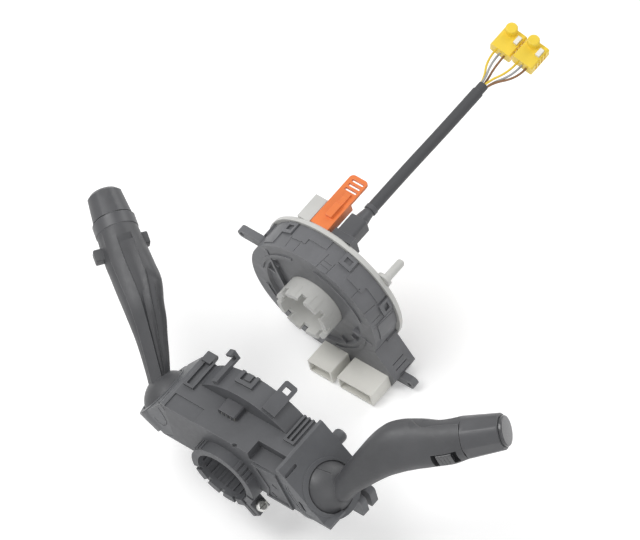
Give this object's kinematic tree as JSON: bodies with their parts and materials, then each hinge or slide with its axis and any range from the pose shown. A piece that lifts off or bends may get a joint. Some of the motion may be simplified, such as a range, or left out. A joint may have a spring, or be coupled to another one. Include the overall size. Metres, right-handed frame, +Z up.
{
  "type": "combination stalk switch",
  "caption": "Column-mounted stalk switch unit with a light stalk, a wiper stalk and a lifted-off clock spring with its airbag pigtail.",
  "frame": {"origin": "centre of the column collar's front rim, on the column axis", "axes": "+Y runs along the steering column towards the driver; +X is towards the wiper stalk, the driver's right; +Z is up, square to the deck"},
  "size_m": [0.3433, 0.3481, 0.1217],
  "materials": {
    "housing_plastic": "fine moulded grain, near black",
    "cover_plastic": "smooth moulded, dark grey",
    "case_plastic": "fine moulded grain, near black",
    "stalk_plastic": "leather-like grain, black",
    "knob_plastic": "satin, black",
    "button_plastic": "polished, black",
    "rotor_plastic": "natural acetal, pale grey",
    "drum_plastic": "smooth moulded, dark grey",
    "socket_plastic": "smooth, off-white",
    "connector_plastic": "smooth, black",
    "lock_plastic": "orange",
    "plug_plastic": "yellow",
    "acetal_white": "natural acetal, white",
    "steel": "zinc plated",
    "spring_steel": "drawn wire",
    "tinned": "tinned contacts",
    "board": "green solder mask",
    "film": "amber film",
    "sleeve": "black sleeving",
    "wire_yellow": "insulation",
    "wire_grey": "insulation",
    "wire_brown": "insulation"
  },
  "bodies": {
    "switch_unit": {"switch_body": "housing_plastic", "clamp_screw": "steel", "left_bottom_cover": "cover_plastic", "right_bottom_cover": "cover_plastic", "circuit_board": "board", "board_screws": "steel", "deck_connector": "connector_plastic", "deck_connector_contacts": "tinned", "turn_switch_case": "case_plastic", "wiper_switch_case": "case_plastic", "pawl_spring": "spring_steel"},
    "cancel_pawl": {"cancel_pawl": "acetal_white"},
    "turn_rocker": {"turn_gimbal": "acetal_white", "turn_detent_spring": "spring_steel"},
    "turn_detent": {"turn_detent_plunger": "steel"},
    "turn_lever": {"turn_stalk": "stalk_plastic", "turn_stalk_pin": "steel"},
    "fog_ring": {"fog_lamp_ring": "knob_plastic"},
    "light_knob": {"light_knob": "knob_plastic"},
    "wiper_rocker": {"wiper_gimbal": "acetal_white", "wiper_detent_spring": "spring_steel"},
    "wiper_detent": {"wiper_detent_plunger": "steel"},
    "wiper_lever": {"wiper_stalk": "stalk_plastic", "wiper_stalk_pin": "steel"},
    "wiper_knob": {"wiper_knob": "knob_plastic"},
    "interval_slider": {"interval_slider": "button_plastic"},
    "washer_button": {"washer_button": "button_plastic"},
    "clock_spring": {"clock_spring_drum": "drum_plastic", "harness_socket_small": "socket_plastic", "harness_socket_large": "socket_plastic", "small_socket_contacts": "tinned", "large_socket_contacts": "tinned", "flat_cable": "film"},
    "rotor": {"rotor_hub": "rotor_plastic", "rotor_cover": "rotor_plastic", "cable_outlet": "connector_plastic", "pigtail_sleeve": "sleeve", "sleeve_band": "sleeve", "airbag_plug_1": "plug_plastic", "airbag_plug_2": "plug_plastic", "wire_1": "wire_yellow", "wire_2": "wire_grey", "wire_3": "wire_brown", "wire_4": "wire_yellow", "wire_5": "wire_grey", "wire_6": "wire_brown"},
    "lock_tab": {"rotor_lock_tab": "lock_plastic"},
    "plug_lock_1": {"plug_lock_1": "acetal_white"},
    "plug_lock_2": {"plug_lock_2": "acetal_white"}
  },
  "joints": [
    {"name": "turn_up_down", "type": "hinge", "parent": "switch_unit", "child": "turn_rocker", "pos_m": [-0.06145, 0.028, 0.00307], "axis": [0, 1, 0], "range_deg": [-11, 11]},
    {"name": "turn_flash", "type": "hinge", "parent": "turn_rocker", "child": "turn_lever", "pos_m": [-0.06145, 0.028, 0.00307], "axis": [-0.6173, 0, -0.7867], "range_deg": [-4, 6], "stiffness_Nm_per_rad": 5},
    {"name": "turn_detent", "type": "slide", "parent": "turn_rocker", "child": "turn_detent", "axis": [-0.7867, 0, 0.6173], "range_m": [0, 0.001], "stiffness_N_per_m": 1500, "springref_m": -0.0005, "deforming": ["turn_detent_spring"]},
    {"name": "fog_ring_turn", "type": "hinge", "parent": "turn_lever", "child": "fog_ring", "pos_m": [-0.1637, 0.0997, 0.056], "axis": [-0.8074, 0.5531, 0.2056], "range_deg": [-30, 30]},
    {"name": "light_knob_turn", "type": "hinge", "parent": "turn_lever", "child": "light_knob", "pos_m": [-0.1637, 0.0997, 0.056], "axis": [-0.8074, 0.5531, 0.2056], "range_deg": [0, 75]},
    {"name": "wiper_up_down", "type": "hinge", "parent": "switch_unit", "child": "wiper_rocker", "pos_m": [0.06145, 0.028, 0.00307], "axis": [0, 1, 0], "range_deg": [-6, 11]},
    {"name": "wiper_wash_pull", "type": "hinge", "parent": "wiper_rocker", "child": "wiper_lever", "pos_m": [0.06145, 0.028, 0.00307], "axis": [-0.6173, 0, 0.7867], "range_deg": [0, 6], "stiffness_Nm_per_rad": 3, "springref_deg": -2.86},
    {"name": "wiper_detent", "type": "slide", "parent": "wiper_rocker", "child": "wiper_detent", "axis": [0.7867, 0, 0.6173], "range_m": [0, 0.001], "stiffness_N_per_m": 1500, "springref_m": -0.0005, "deforming": ["wiper_detent_spring"]},
    {"name": "rear_wiper_turn", "type": "hinge", "parent": "wiper_lever", "child": "wiper_knob", "pos_m": [0.1637, 0.0997, 0.056], "axis": [0.8074, 0.5531, 0.2056], "range_deg": [-30, 30]},
    {"name": "interval_slide", "type": "slide", "parent": "wiper_lever", "child": "interval_slider", "axis": [0.8074, 0.5531, 0.2056], "range_m": [-0.003, 0.003]},
    {"name": "washer_press", "type": "slide", "parent": "wiper_knob", "child": "washer_button", "axis": [-0.8074, -0.5531, -0.2056], "range_m": [0, 0.0015], "stiffness_N_per_m": 1200, "springref_m": -0.001},
    {"name": "pawl_slide", "type": "slide", "parent": "switch_unit", "child": "cancel_pawl", "axis": [-1, 0, 0], "range_m": [0, 0.003], "stiffness_N_per_m": 300, "springref_m": -0.002, "deforming": ["pawl_spring"]},
    {"name": "clock_spring_lift", "type": "slide", "parent": "switch_unit", "child": "clock_spring", "axis": [-0.3758, 0.9267, 0], "range_m": [-0.09313, 0]},
    {"name": "rotor_spin", "type": "hinge", "parent": "clock_spring", "child": "rotor", "pos_m": [-0.035, 0.1231, 0], "axis": [0, 1, 0], "range_deg": [-900, 900]},
    {"name": "lock_tab_pull", "type": "slide", "parent": "rotor", "child": "lock_tab", "axis": [0, 1, 0], "range_m": [0, 0.03]},
    {"name": "plug_lock_1_press", "type": "slide", "parent": "rotor", "child": "plug_lock_1", "axis": [-0.2588, 0, -0.9659], "range_m": [0, 0.0015]},
    {"name": "plug_lock_2_press", "type": "slide", "parent": "rotor", "child": "plug_lock_2", "axis": [-0.2588, 0, -0.9659], "range_m": [0, 0.0015]}
  ]
}
